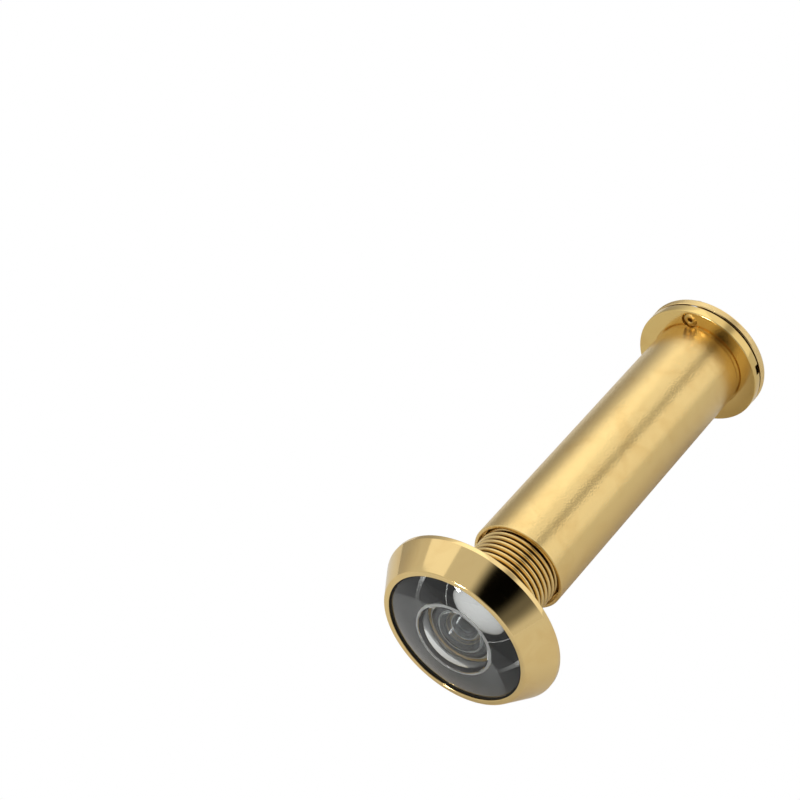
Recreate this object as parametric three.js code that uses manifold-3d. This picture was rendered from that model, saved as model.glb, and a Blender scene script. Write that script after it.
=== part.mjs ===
// Door viewer with a swinging cover: an outside half that holds the wide-angle lenses and
// carries the screw thread, and an inside half, a threaded sleeve with a slotted flange, that
// screws over it and clamps the door between the two seats.
//
// Millimetres. The optical axis is Y: the front lens looks along -Y, out of the door, and the
// eyepiece is at +Y. The origin is on the axis at the outside half's seat. +Z points to the
// cover's pivot.

import * as THREE from "three";
import { mergeVertices } from "three/addons/utils/BufferGeometryUtils.js";
import Module from "manifold-3d";

// ---- Driving dimensions ---------------------------------------------------------------

// The door and the travel of the screw either side of the door it is set for
const doorThickness = 67.6;
const screwInTravel = 11.5;
const screwOutTravel = 8.5;

// Outside half: the bezel
const bezelRadius = 15.4;
const bezelRimBand = 0.85;
const bezelHeight = 5.45;
const bezelLipRadius = 12.7;
const bezelFloor = 3.4;
const lipWall = 0.7;
const lipOverhang = 0.18;
const lipThickness = 0.3;
const bezelEdgeRound = 0.16;

// Outside half: the barrel and its thread
const threadPitch = 1.0;
const threadDepth = 0.55;
const threadPlay = 0.15;
const threadFlank = Math.PI / 6;
const threadCrestFlat = 0.2;
const threadStart = 1.6;
const barrelWall = 0.95;
const barrelEndRunOut = 1.2;

// Inside half: the sleeve and its flange
const sleeveRadius = 8.0;
const sleeveLength = 55.55;
const sleeveWall = 0.75;
const boreRelief = 0.25;
const mouthBoreDepth = 1.6;
const mouthWall = 0.57;
const sleeveThreadLength = 8;
const rootReliefWidth = 0.5;
const rootReliefDepth = 0.22;
const seatReliefDepth = 0.15;
const seatReliefReach = 0.1;
const flangeLedge = 3.05;
const flangeThickness = 1.7;
const flangeEdgeRound = 0.15;
const coinSlotWidth = 1.7;
const coinSlotDepth = 0.9;
const coinSlotFromPivot = THREE.MathUtils.degToRad(95);

// Lenses
const gasketWall = 0.36;
const frontLensDome = 27.6;
const frontLensEdge = 1.2;
const frontHollowRim = 6.4;
const frontHollowSphere = 8.7;
const lightSealThickness = 0.42;
const secondLensDome = 14;
const secondLensEdge = 1.7;
const secondHollowRim = 3.9;
const secondHollowSphere = 4.6;
const secondSeatDepth = 0.85;
const secondSeatWidth = 0.7;
const lensSpacerLength = 2.4;
const lensSpacerWall = 1.7;
const thirdLensThickness = 2.6;
const thirdLensRim = 2.07;
const thirdHollowSphere = 7.5;
const apertureRingLength = 0.95;
const shoulderWidth = 1.1;
const apertureInset = 0.49;
const eyepieceDome = 16;
const eyepieceEdge = 0.7;
const cellBoreOverRoot = 0.1;
const eyepieceShoulder = 1.45;
const eyepieceCellLength = 3.8;
const eyepieceCellWall = 1.15;
const eyepieceCellLip = 0.6;
const eyepieceLipCover = 0.72;
const eyepieceRingLength = 1.3;
const eyepieceRingWall = 1.5;
const spannerNotchWidth = 1.2;
const spannerNotchDepth = 0.6;

// Cover and its pivot
const coverThickness = 1.35;
const coverGap = 0.34;
const coverOverhang = 0.04;
const pivotEdgeDistance = 1.91;
const rivetRadius = 0.8;
const rivetHeadRadius = 1.65;
const rivetHeadHeight = 0.75;
const rivetBoreRadius = 0.42;
const clinchRadius = 1.28;
const clinchHeight = 0.55;
const counterboreRadius = 1.45;
const counterboreDepth = 0.75;
const washerWidth = 0.95;
const knobRadius = 1.35;
const knobHeight = 2.6;
const knobShankRadius = 0.75;
const knobFromRim = 2.6;

// Fits: a seat between still pieces, and the running gap of a pivot
const seatGap = 0.04;
const runningGap = 0.06;

// Facets
const bodyFacets = 36;
const lensFacets = 18;
const smallFacets = 18;
const threadStepsPerTurn = 18;
const lensArcSteps = 4;
const roundSteps = 3;

// ---- Dimensions that follow from them --------------------------------------------------

const threadCrest = sleeveRadius - sleeveWall - boreRelief;
const threadRoot = threadCrest - threadDepth;
const reliefBore = threadCrest + boreRelief;
const mouthY = doorThickness - sleeveLength;
const barrelLength =
  mouthY + mouthBoreDepth + sleeveThreadLength + screwOutTravel + barrelEndRunOut;
const flangeRadius = sleeveRadius + flangeLedge;
const pivotRadius = flangeRadius - pivotEdgeDistance;

const lipFrontY = -bezelHeight;
const pocketTopY = lipFrontY + lipThickness;
const pocketRadius = bezelLipRadius - lipWall;
const frontLensRadius = pocketRadius - seatGap - gasketWall - seatGap;
const frontLensBackY = pocketTopY + seatGap + frontLensEdge;

const stackBore = threadRoot - barrelWall;
const secondLensRadius = stackBore + secondSeatWidth;
const secondPocketRadius = secondLensRadius + seatGap;
const secondLensBackY = -secondSeatDepth - seatGap;
const stackRadius = stackBore - seatGap;
const spacerFrontY = -secondSeatDepth + seatGap;
const thirdLensFrontY = spacerFrontY + lensSpacerLength + seatGap;
const apertureFrontY = thirdLensFrontY + thirdLensThickness + seatGap;
const stackShoulderY = apertureFrontY + apertureRingLength + seatGap;
const thirdHollowRim = stackRadius - thirdLensRim;
const apertureRadius = thirdHollowRim - apertureInset;
const lightPathRadius = stackBore - shoulderWidth;

const cellBore = threadRoot + cellBoreOverRoot;
const eyepieceRadius = cellBore - seatGap - eyepieceCellWall - seatGap;
const eyepieceAperture = eyepieceRadius - eyepieceLipCover;
const cellBackY = flangeThickness - eyepieceShoulder - seatGap;
const cellFrontY = cellBackY - eyepieceCellLength;
const eyepieceBackRimY = cellBackY - eyepieceCellLip - seatGap;
const eyepieceRingBackY = cellFrontY - seatGap;
const eyepieceRingFrontY = eyepieceRingBackY - eyepieceRingLength;
const coverY = flangeThickness + coverGap;
const coverRadius = flangeRadius + coverOverhang;

// ---- Finishes --------------------------------------------------------------------------

const finishes = {
  polishedBrass: new THREE.MeshStandardMaterial({
    color: 0xd9ae62,
    metalness: 1,
    roughness: 0.16,
  }),
  satinBrass: new THREE.MeshStandardMaterial({
    color: 0xc9a45a,
    metalness: 1,
    roughness: 0.38,
  }),
  opticalGlass: new THREE.MeshStandardMaterial({
    color: 0xe8eef0,
    metalness: 0,
    roughness: 0.03,
    transparent: true,
    opacity: 0.35,
  }),
  blackRubber: new THREE.MeshStandardMaterial({
    color: 0x111112,
    metalness: 0,
    roughness: 0.75,
  }),
  blackPlastic: new THREE.MeshStandardMaterial({
    color: 0x17171a,
    metalness: 0,
    roughness: 0.5,
  }),
  springSteel: new THREE.MeshStandardMaterial({
    color: 0xa9a9a6,
    metalness: 1,
    roughness: 0.35,
  }),
};

// ---- From shapes to solids ---------------------------------------------------------------

const wasm = await Module();
wasm.setup();

/** A closed three.js geometry as a solid that can be joined and cut. */
function solidOf(geometry) {
  const bare = geometry.clone();
  bare.deleteAttribute("normal");
  bare.deleteAttribute("uv");
  const merged = mergeVertices(bare, 1e-5);
  return new wasm.Manifold(
    new wasm.Mesh({
      numProp: 3,
      vertProperties: merged.attributes.position.array,
      triVerts: new Uint32Array(merged.index.array),
    }),
  );
}

/** A solid of revolution about Y from an outline of [radius, y] points in either direction. */
function turned(outline, facets = bodyFacets) {
  const points = outline.map(([radius, y]) => new THREE.Vector2(radius, y));
  if (THREE.ShapeUtils.area(points) < 0) points.reverse();
  const onAxis = points.map((point) => point.x === 0);
  if (onAxis.includes(true)) {
    // Start just past the stretch on the axis, so that the outline ends on the axis too.
    while (!(points[0].x === 0 && points[points.length - 1].x === 0)) {
      points.push(points.shift());
    }
  } else {
    points.push(points[0].clone());
  }
  return solidOf(new THREE.LatheGeometry(points, facets));
}

/** Points on a quarter round that takes off the corner between two edges of an outline. */
function roundedCorner(corner, towards, away, size) {
  const from = new THREE.Vector2(...corner);
  const start = from.clone().add(new THREE.Vector2(...towards).sub(from).setLength(size));
  const end = from.clone().add(new THREE.Vector2(...away).sub(from).setLength(size));
  const curve = new THREE.QuadraticBezierCurve(start, from, end);
  return curve.getPoints(roundSteps).map((point) => [point.x, point.y]);
}

/** An outline with every listed corner rounded: corners maps a point's index to its size. */
function rounded(outline, corners) {
  const count = outline.length;
  return outline.flatMap((point, i) =>
    corners[i] === undefined
      ? [point]
      : roundedCorner(
          point,
          outline[(i + count - 1) % count],
          outline[(i + 1) % count],
          corners[i],
        ),
  );
}

/** A spherical cap's [radius, y] points, from its rim at rimY to the axis; bulge is +1 or -1. */
function cap(sphereRadius, rimRadius, rimY, bulge) {
  const halfAngle = Math.asin(rimRadius / sphereRadius);
  const points = [];
  for (let step = 0; step <= lensArcSteps; step++) {
    const angle = halfAngle * (1 - step / lensArcSteps);
    const radius = step === lensArcSteps ? 0 : sphereRadius * Math.sin(angle);
    const rise = sphereRadius * (Math.cos(angle) - Math.cos(halfAngle));
    points.push([radius, rimY + bulge * rise]);
  }
  return points;
}

/** A ring of rectangular section. */
function ring(innerRadius, outerRadius, lowY, highY, facets = lensFacets) {
  return turned(
    [
      [innerRadius, lowY],
      [outerRadius, lowY],
      [outerRadius, highY],
      [innerRadius, highY],
    ],
    facets,
  );
}

/** A rod along Y whose axis stands at height z over the optical axis. */
function rod(radius, lowY, highY, z = 0, facets = smallFacets) {
  const geometry = new THREE.CylinderGeometry(radius, radius, highY - lowY, facets);
  geometry.translate(0, (lowY + highY) / 2, z);
  return solidOf(geometry);
}

/** A bar across the axis, for slots and notches: it lies along X before it is turned. */
function bar(length, width, lowY, highY, turn = 0) {
  const geometry = new THREE.BoxGeometry(length, highY - lowY, width);
  geometry.translate(0, (lowY + highY) / 2, 0);
  geometry.rotateY(turn);
  return solidOf(geometry);
}

/**
 * A right-hand helix about Y whose frames stay square to the axis, so a thread keeps its
 * section. It crosses the half-plane towards +Z where y + lead is a whole number of pitches.
 */
class ThreadHelix extends THREE.Curve {
  constructor(radius, startY, length, lead) {
    super();
    this.radius = radius;
    this.startY = startY;
    this.length = length;
    this.lead = lead;
  }

  angleAt(t) {
    const y = this.startY + t * this.length;
    return (2 * Math.PI * (y + this.lead)) / threadPitch;
  }

  getPoint(t, target = new THREE.Vector3()) {
    const angle = this.angleAt(t);
    return target.set(
      this.radius * Math.sin(angle),
      this.startY + t * this.length,
      this.radius * Math.cos(angle),
    );
  }

  getPointAt(t, target) {
    return this.getPoint(t, target);
  }

  computeFrenetFrames(steps) {
    const frames = { tangents: [], normals: [], binormals: [] };
    for (let i = 0; i <= steps; i++) {
      const angle = this.angleAt(i / steps);
      frames.tangents.push(new THREE.Vector3(Math.cos(angle), 0, -Math.sin(angle)));
      frames.normals.push(new THREE.Vector3(Math.sin(angle), 0, Math.cos(angle)));
      frames.binormals.push(new THREE.Vector3(0, -1, 0));
    }
    return frames;
  }
}

/** Half the axial width of a V ridge at a depth under its crest. */
function ridgeHalf(depth) {
  return threadCrestFlat / 2 + depth * Math.tan(threadFlank);
}

/**
 * The ridge of a V thread as a solid: it stands depth proud of a cylinder, outwards for a
 * screw (side 1) and inwards for a nut (side -1), and is rooted in the wall behind it. It
 * starts and ends at whole facets, at or inside the stretch from startY to endY.
 */
function threadRidge(cylinderRadius, depth, side, startY, endY, lead) {
  const rooted = 0.25;
  const crestHalf = threadCrestFlat / 2;
  const rootHalf = ridgeHalf(depth + rooted);
  const section = new THREE.Shape(
    [
      [-side * rooted, -rootHalf],
      [side * depth, -crestHalf],
      [side * depth, crestHalf],
      [-side * rooted, rootHalf],
    ].map(([x, y]) => new THREE.Vector2(x, y)),
  );
  const rise = threadPitch / threadStepsPerTurn;
  const firstStep = Math.ceil((startY + lead) / rise - 1e-6);
  const steps = Math.floor((endY + lead) / rise + 1e-6) - firstStep;
  const path = new ThreadHelix(cylinderRadius, firstStep * rise - lead, steps * rise, lead);
  return solidOf(
    new THREE.ExtrudeGeometry(section, { steps, extrudePath: path, bevelEnabled: false }),
  );
}

/** A named mesh of a finished solid. */
function piece(name, solid, finish) {
  const data = solid.getMesh();
  const geometry = new THREE.BufferGeometry();
  geometry.setAttribute("position", new THREE.BufferAttribute(data.vertProperties, 3));
  geometry.setIndex(new THREE.BufferAttribute(data.triVerts, 1));
  geometry.computeVertexNormals();
  const mesh = new THREE.Mesh(geometry, finish);
  mesh.name = name;
  return mesh;
}

// ---- Outside half: y is measured from its seat ---------------------------------------------

/** The bezel and the threaded barrel, turned from one bar and bored in steps. */
function objectiveHousing() {
  const lipInner = pocketRadius - lipOverhang;
  const beyond = 1;
  const seatInner = threadCrest + seatReliefReach;
  const bezelOutline = [
    [0, -seatReliefDepth],
    [seatInner, -seatReliefDepth],
    [seatInner, 0],
    [bezelRadius, 0],
    [bezelRadius, -bezelRimBand],
    [bezelLipRadius, lipFrontY],
    [0, lipFrontY],
  ];
  const edges = { 3: bezelEdgeRound, 4: bezelEdgeRound, 5: bezelEdgeRound };
  const bezel = turned(rounded(bezelOutline, edges));
  const barrel = rod(threadRoot, -bezelFloor, barrelLength);
  const threadEnd = barrelLength - barrelEndRunOut / 2;
  const thread = threadRidge(threadRoot, threadDepth, 1, threadStart, threadEnd, 0);
  const bore = turned([
    [0, lipFrontY - beyond],
    [lipInner, lipFrontY - beyond],
    [lipInner, pocketTopY],
    [pocketRadius, pocketTopY],
    [pocketRadius, -bezelFloor],
    [secondPocketRadius, -bezelFloor],
    [secondPocketRadius, -secondSeatDepth],
    [stackBore, -secondSeatDepth],
    [stackBore, stackShoulderY],
    [lightPathRadius, stackShoulderY],
    [lightPathRadius, barrelLength + beyond],
    [0, barrelLength + beyond],
  ]);
  return piece(
    "objective_housing",
    bezel.add(barrel).add(thread).subtract(bore),
    finishes.polishedBrass,
  );
}

/** The domed front element, with a deep hollow behind. */
function frontLens() {
  const rimY = pocketTopY + seatGap;
  const outline = [
    ...cap(frontLensDome, frontLensRadius, rimY, -1),
    ...cap(frontHollowSphere, frontHollowRim, frontLensBackY, -1).reverse(),
    [frontLensRadius, frontLensBackY],
  ];
  return piece("front_lens", turned(outline, bodyFacets), finishes.opticalGlass);
}

/** The black ring round the front lens, under the bezel's lip. */
function lensGasket() {
  const outer = pocketRadius - seatGap;
  const solid = ring(
    outer - gasketWall,
    outer,
    pocketTopY + seatGap,
    -bezelFloor - seatGap,
    bodyFacets,
  );
  return piece("lens_gasket", solid, finishes.blackRubber);
}

/** The black washer that backs the front lens's flat annulus. */
function lightSealWasher() {
  const solid = ring(
    secondPocketRadius + seatGap,
    frontLensRadius - seatGap,
    frontLensBackY + seatGap,
    Math.min(frontLensBackY + seatGap + lightSealThickness, -bezelFloor - seatGap),
    bodyFacets,
  );
  return piece("light_seal_washer", solid, finishes.blackPlastic);
}

/** The second negative element, in the bezel's inner pocket. */
function secondLens() {
  const rimY = secondLensBackY - secondLensEdge;
  const outline = [
    ...cap(secondLensDome, secondLensRadius, rimY, -1),
    ...cap(secondHollowSphere, secondHollowRim, secondLensBackY, -1).reverse(),
    [secondLensRadius, secondLensBackY],
  ];
  return piece("second_lens", turned(outline, lensFacets), finishes.opticalGlass);
}

/** The brass ring between the second and third elements. */
function lensSpacer() {
  const solid = ring(
    stackRadius - lensSpacerWall,
    stackRadius,
    spacerFrontY,
    spacerFrontY + lensSpacerLength,
  );
  return piece("lens_spacer", solid, finishes.satinBrass);
}

/** The third element, hollow on both sides. */
function thirdLens() {
  const backY = thirdLensFrontY + thirdLensThickness;
  const outline = [
    ...cap(thirdHollowSphere, thirdHollowRim, thirdLensFrontY, 1),
    ...cap(thirdHollowSphere, thirdHollowRim, backY, -1).reverse(),
    [stackRadius, backY],
    [stackRadius, thirdLensFrontY],
  ];
  return piece("third_lens", turned(outline, lensFacets), finishes.opticalGlass);
}

/** The black stop behind the third element, on the barrel's shoulder. */
function apertureRing() {
  const solid = ring(
    apertureRadius,
    stackRadius,
    apertureFrontY,
    apertureFrontY + apertureRingLength,
  );
  return piece("aperture_ring", solid, finishes.blackPlastic);
}

// ---- Inside half: y is measured from its seat, the flange's front face ---------------------

/** The sleeve with its flange, inside thread, coin slot and rivet hole. */
function innerSleeve() {
  const mouth = -sleeveLength;
  const threadBore = threadCrest + threadPlay;
  const mouthBore = sleeveRadius - mouthWall;
  const threadFrom = mouth + mouthBoreDepth;
  const threadTo = threadFrom + sleeveThreadLength;
  const ledge = sleeveRadius - rootReliefDepth;
  const seatInner = sleeveRadius + seatReliefReach;
  const outline = [
    [mouthBore, mouth],
    [sleeveRadius, mouth],
    [sleeveRadius, -rootReliefWidth],
    [ledge, -rootReliefWidth],
    [ledge, seatReliefDepth],
    [seatInner, seatReliefDepth],
    [seatInner, 0],
    [flangeRadius, 0],
    [flangeRadius, flangeThickness],
    [eyepieceAperture, flangeThickness],
    [eyepieceAperture, cellBackY + seatGap],
    [cellBore, cellBackY + seatGap],
    [cellBore, eyepieceRingFrontY],
    [reliefBore, eyepieceRingFrontY],
    [reliefBore, threadTo],
    [threadBore, threadTo],
    [threadBore, threadFrom],
    [mouthBore, threadFrom],
  ];
  const edges = { 1: flangeEdgeRound, 7: flangeEdgeRound, 8: flangeEdgeRound };
  const ridge = threadRidge(
    threadBore,
    threadDepth,
    -1,
    threadFrom + threadPitch / 2,
    threadTo - threadPitch / 2,
    doorThickness + threadPitch / 2,
  );
  const slot = bar(
    2 * flangeRadius + 2,
    coinSlotWidth,
    flangeThickness - coinSlotDepth,
    flangeThickness + 1,
    coinSlotFromPivot - Math.PI / 2,
  );
  const rivetHole = rod(rivetRadius + seatGap, -0.5, flangeThickness + 0.5, pivotRadius);
  const counterbore = rod(counterboreRadius, -rootReliefWidth, counterboreDepth, pivotRadius);
  return piece(
    "inner_sleeve",
    turned(rounded(outline, edges))
      .add(ridge)
      .subtract(slot)
      .subtract(rivetHole)
      .subtract(counterbore),
    finishes.satinBrass,
  );
}

/** The black cup that holds the eyepiece lens against the flange. */
function eyepieceCell() {
  const outer = cellBore - seatGap;
  const solid = turned(
    [
      [outer, cellFrontY],
      [outer, cellBackY],
      [eyepieceAperture, cellBackY],
      [eyepieceAperture, cellBackY - eyepieceCellLip],
      [outer - eyepieceCellWall, cellBackY - eyepieceCellLip],
      [outer - eyepieceCellWall, cellFrontY],
    ],
    lensFacets,
  );
  return piece("eyepiece_cell", solid, finishes.blackPlastic);
}

/** The positive lens that the eye looks into. */
function eyepieceLens() {
  const frontRimY = eyepieceBackRimY - eyepieceEdge;
  const outline = [
    ...cap(eyepieceDome, eyepieceRadius, frontRimY, -1),
    [0, eyepieceBackRimY],
    [eyepieceRadius, eyepieceBackRimY],
  ];
  return piece("eyepiece_lens", turned(outline, lensFacets), finishes.opticalGlass);
}

/** The brass ring that screws in behind the cell, with two spanner notches. */
function eyepieceRetainingRing() {
  const outer = cellBore - seatGap;
  const notch = bar(
    2 * outer + 1,
    spannerNotchWidth,
    eyepieceRingFrontY - 1,
    eyepieceRingFrontY + spannerNotchDepth,
  );
  const solid = ring(
    outer - eyepieceRingWall,
    outer,
    eyepieceRingFrontY,
    eyepieceRingBackY,
  ).subtract(notch);
  return piece("eyepiece_retaining_ring", solid, finishes.satinBrass);
}

/** The semi-tubular rivet: domed head over the cover, clinched in the flange's counterbore. */
function pivotRivet() {
  const headFrom = coverY + coverThickness + runningGap;
  const clinchY = counterboreDepth - clinchHeight - seatGap;
  const solid = turned(
    [
      [rivetBoreRadius, clinchY],
      [clinchRadius, clinchY + clinchHeight / 2],
      [clinchRadius, clinchY + clinchHeight],
      [rivetRadius, clinchY + clinchHeight],
      [rivetRadius, headFrom],
      [rivetHeadRadius, headFrom],
      [rivetHeadRadius, headFrom + rivetHeadHeight / 3],
      [rivetHeadRadius * 0.6, headFrom + rivetHeadHeight],
      [0, headFrom + rivetHeadHeight],
      [0, clinchY + 2 * clinchHeight],
      [rivetBoreRadius, clinchY + 2 * clinchHeight],
    ],
    smallFacets,
  );
  const rivet = piece("pivot_rivet", solid, finishes.polishedBrass);
  rivet.position.z = pivotRadius;
  return rivet;
}

/** The thin washer that keeps the cover off the flange. */
function pivotWasher() {
  const solid = ring(
    rivetRadius + runningGap,
    rivetRadius + runningGap + washerWidth,
    flangeThickness + seatGap,
    coverY - seatGap,
    smallFacets,
  );
  const washer = piece("pivot_washer", solid, finishes.springSteel);
  washer.position.z = pivotRadius;
  return washer;
}

// ---- Cover: the origin is on the pivot's axis, at the cover's front face -------------------

const knobZ = -pivotRadius - coverRadius + knobFromRim;

/** The disc that swings over the eyepiece. */
function privacyCover() {
  const outline = [
    [0, 0],
    [coverRadius, 0],
    [coverRadius, coverThickness],
    [0, coverThickness],
  ];
  const disc = turned(rounded(outline, { 1: flangeEdgeRound, 2: flangeEdgeRound }));
  const solid = disc
    .translate(0, 0, -pivotRadius)
    .subtract(rod(rivetRadius + runningGap, -0.5, coverThickness + 0.5))
    .subtract(rod(knobShankRadius + seatGap, -0.5, coverThickness + 0.5, knobZ));
  return piece("privacy_cover", solid, finishes.polishedBrass);
}

/** The small turned knob that a finger pushes, riveted through the cover. */
function coverKnob() {
  const from = coverThickness + seatGap;
  const top = from + knobHeight;
  const solid = turned(
    [
      [0, seatGap],
      [knobShankRadius, seatGap],
      [knobShankRadius, from],
      [knobRadius, from],
      [knobRadius, from + knobHeight * 0.2],
      [knobRadius * 0.72, from + knobHeight * 0.4],
      [knobRadius, from + knobHeight * 0.72],
      [knobRadius * 0.72, top],
      [0, top],
    ],
    smallFacets,
  );
  const knob = piece("cover_knob", solid, finishes.polishedBrass);
  knob.position.z = knobZ;
  return knob;
}

// ---- Assembly ------------------------------------------------------------------------------

const outsideHalf = new THREE.Group();
outsideHalf.add(
  objectiveHousing(),
  frontLens(),
  lensGasket(),
  lightSealWasher(),
  secondLens(),
  lensSpacer(),
  thirdLens(),
  apertureRing(),
);

const cover = new THREE.Group();
cover.position.set(0, coverY, pivotRadius);
cover.add(privacyCover(), coverKnob());

const insideHalf = new THREE.Group();
insideHalf.position.y = doorThickness;
insideHalf.add(
  innerSleeve(),
  eyepieceCell(),
  eyepieceLens(),
  eyepieceRetainingRing(),
  pivotRivet(),
  pivotWasher(),
  cover,
);

const doorViewer = new THREE.Group();
doorViewer.add(outsideHalf, insideHalf);

export default doorViewer;
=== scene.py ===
"""Looks of a brass door viewer: domed lens in a turned bezel, threaded barrel, slotted sleeve, cover.

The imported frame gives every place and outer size. Profiles are drawn in millimetres as
(radius, y) points about the optical axis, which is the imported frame's Y axis: -Y is the outside
of the door and +Y the inside. Meshes are written in metres.
"""

import logging
import math
from dataclasses import dataclass, field
from enum import Enum
from typing import Optional, Sequence

import bmesh
import bpy
from mathutils import Matrix, Vector

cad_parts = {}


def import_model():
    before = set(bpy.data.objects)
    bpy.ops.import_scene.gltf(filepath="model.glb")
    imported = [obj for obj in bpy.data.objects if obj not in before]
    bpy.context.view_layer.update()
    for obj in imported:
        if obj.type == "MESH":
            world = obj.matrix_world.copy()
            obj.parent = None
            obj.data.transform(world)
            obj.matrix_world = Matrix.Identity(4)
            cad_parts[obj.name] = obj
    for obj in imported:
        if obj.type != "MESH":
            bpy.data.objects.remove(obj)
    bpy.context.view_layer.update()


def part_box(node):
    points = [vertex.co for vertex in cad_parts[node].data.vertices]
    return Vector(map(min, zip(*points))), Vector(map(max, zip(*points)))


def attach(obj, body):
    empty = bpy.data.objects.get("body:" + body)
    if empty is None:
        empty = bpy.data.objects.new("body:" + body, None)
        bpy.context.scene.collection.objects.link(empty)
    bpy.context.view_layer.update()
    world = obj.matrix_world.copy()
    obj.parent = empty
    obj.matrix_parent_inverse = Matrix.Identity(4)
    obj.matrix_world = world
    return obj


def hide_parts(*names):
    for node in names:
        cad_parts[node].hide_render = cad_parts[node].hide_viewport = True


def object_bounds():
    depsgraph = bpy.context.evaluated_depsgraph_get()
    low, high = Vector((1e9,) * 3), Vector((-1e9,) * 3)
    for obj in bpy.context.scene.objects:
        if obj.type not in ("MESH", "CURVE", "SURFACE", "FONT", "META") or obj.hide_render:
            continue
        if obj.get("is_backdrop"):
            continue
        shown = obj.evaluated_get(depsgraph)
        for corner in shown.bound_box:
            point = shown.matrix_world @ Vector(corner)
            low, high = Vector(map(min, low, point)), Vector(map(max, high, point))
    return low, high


log = logging.getLogger("door_viewer")

MM = 0.001
Point = tuple[float, float]

# Room between a piece and the seat that holds it, in millimetres.
FIT_GAP = 0.04
# How far the turned relief at a seat's root runs past the shank, in millimetres.
RELIEF_REACH = 0.1


# ---------------------------------------------------------------- colour, nodes and meshes


def linear(colour: str) -> tuple[float, float, float, float]:
    """Turn an sRGB hex colour into linear light.

    Args:
        colour: "#RRGGBB".

    Returns:
        Red, green, blue and an alpha of one.
    """

    def channel(at: int) -> float:
        """One channel of the colour in linear light."""
        value = int(colour[at : at + 2], 16) / 255
        return value / 12.92 if value <= 0.04045 else ((value + 0.055) / 1.055) ** 2.4

    return (channel(1), channel(3), channel(5), 1.0)


def add_node(
    tree: bpy.types.NodeTree, kind: str, inputs: Optional[dict] = None, **settings
) -> bpy.types.Node:
    """Add a node with its settings, its constant inputs and its links.

    Args:
        tree: The node tree to add to.
        kind: The node's Blender type name.
        inputs: Input name or index to a constant, or to the output socket that feeds it.
        settings: The node's own properties.

    Returns:
        The new node.
    """
    node = tree.nodes.new(kind)
    for name, value in settings.items():
        setattr(node, name, value)
    for key, value in (inputs or {}).items():
        if isinstance(value, bpy.types.NodeSocket):
            tree.links.new(value, node.inputs[key])
        else:
            node.inputs[key].default_value = value
    return node


def calculated(tree: bpy.types.NodeTree, operation: str, *values) -> bpy.types.NodeSocket:
    """Add one Math node.

    Args:
        tree: The node tree to add to.
        operation: The sum that it does.
        values: Its constants, or the output sockets that feed it.

    Returns:
        The result's socket.
    """
    inputs = dict(enumerate(values))
    return add_node(tree, "ShaderNodeMath", inputs, operation=operation).outputs[0]


def blended(
    tree: bpy.types.NodeTree, share: bpy.types.NodeSocket, one, two
) -> bpy.types.NodeSocket:
    """Mix two colours.

    Args:
        tree: The node tree to add to.
        share: How much of the second colour shows.
        one: First colour, or the output socket that gives it.
        two: Second colour, or the output socket that gives it.

    Returns:
        The mixed colour's socket.
    """
    # The mix node keeps a set of sockets per type; the colour ones are 6, 7 and output 2.
    inputs = {"Factor": share, 6: one, 7: two}
    return add_node(tree, "ShaderNodeMix", inputs, data_type="RGBA").outputs[2]


def empty_material(name: str) -> tuple[bpy.types.Material, bpy.types.NodeTree]:
    """Make a material with no nodes yet.

    Args:
        name: Its name.

    Returns:
        The material and its node tree.
    """
    made = bpy.data.materials.new(name)
    made.use_nodes = True
    made.node_tree.nodes.clear()
    return made, made.node_tree


def cap(sphere: float, rim: float, rim_y: float, bulge: int, steps: int = 20) -> list[Point]:
    """Draw a lens surface from the axis to its rim.

    Args:
        sphere: Radius of curvature.
        rim: Radius of the surface's edge.
        rim_y: Where the edge stands.
        bulge: -1 if the vertex stands towards -Y, +1 towards +Y.
        steps: Straight steps along the arc.

    Returns:
        Profile points, the first on the axis.
    """
    widest = math.asin(rim / sphere)
    points = []
    for i in range(steps + 1):
        angle = widest * i / steps
        rise = sphere * (math.cos(angle) - math.cos(widest))
        points.append((sphere * math.sin(angle), rim_y + bulge * rise))
    return points


def rounded(outline: Sequence[Point], radii: dict[int, float], steps: int = 5) -> list[Point]:
    """Round some corners of a profile.

    Args:
        outline: Corner points.
        radii: Corner index to its radius.
        steps: Straight steps in each arc.

    Returns:
        The profile with those corners turned into arcs.
    """
    result: list[Point] = []
    count = len(outline)
    for i, corner in enumerate(outline):
        radius = radii.get(i, 0.0)
        if not radius:
            result.append(corner)
            continue
        here = Vector(corner)
        back = (Vector(outline[i - 1]) - here).normalized()
        ahead = (Vector(outline[(i + 1) % count]) - here).normalized()
        half = back.angle(ahead) / 2
        centre = here + (back + ahead).normalized() * radius / math.sin(half)
        first = here + back * radius / math.tan(half) - centre
        sweep = first.angle_signed(here + ahead * radius / math.tan(half) - centre)
        for k in range(steps + 1):
            spoke = first.copy()
            spoke.rotate(Matrix.Rotation(-sweep * k / steps, 2))
            result.append(tuple(centre + spoke))
    return result


def mesh_object(name: str, mesh: bpy.types.Mesh) -> bpy.types.Object:
    """Put a mesh in the scene as an object at the origin.

    Args:
        name: The object's name.
        mesh: Its mesh.

    Returns:
        The new object.
    """
    made = bpy.data.objects.new(name, mesh)
    bpy.context.scene.collection.objects.link(made)
    return made


def mesh_of(name: str, work: bmesh.types.BMesh) -> bpy.types.Mesh:
    """Turn a finished bmesh into a mesh, and free the bmesh.

    Args:
        name: The mesh's name.
        work: What it is made from.

    Returns:
        The new mesh.
    """
    mesh = bpy.data.meshes.new(name)
    work.to_mesh(mesh)
    work.free()
    return mesh


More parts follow.
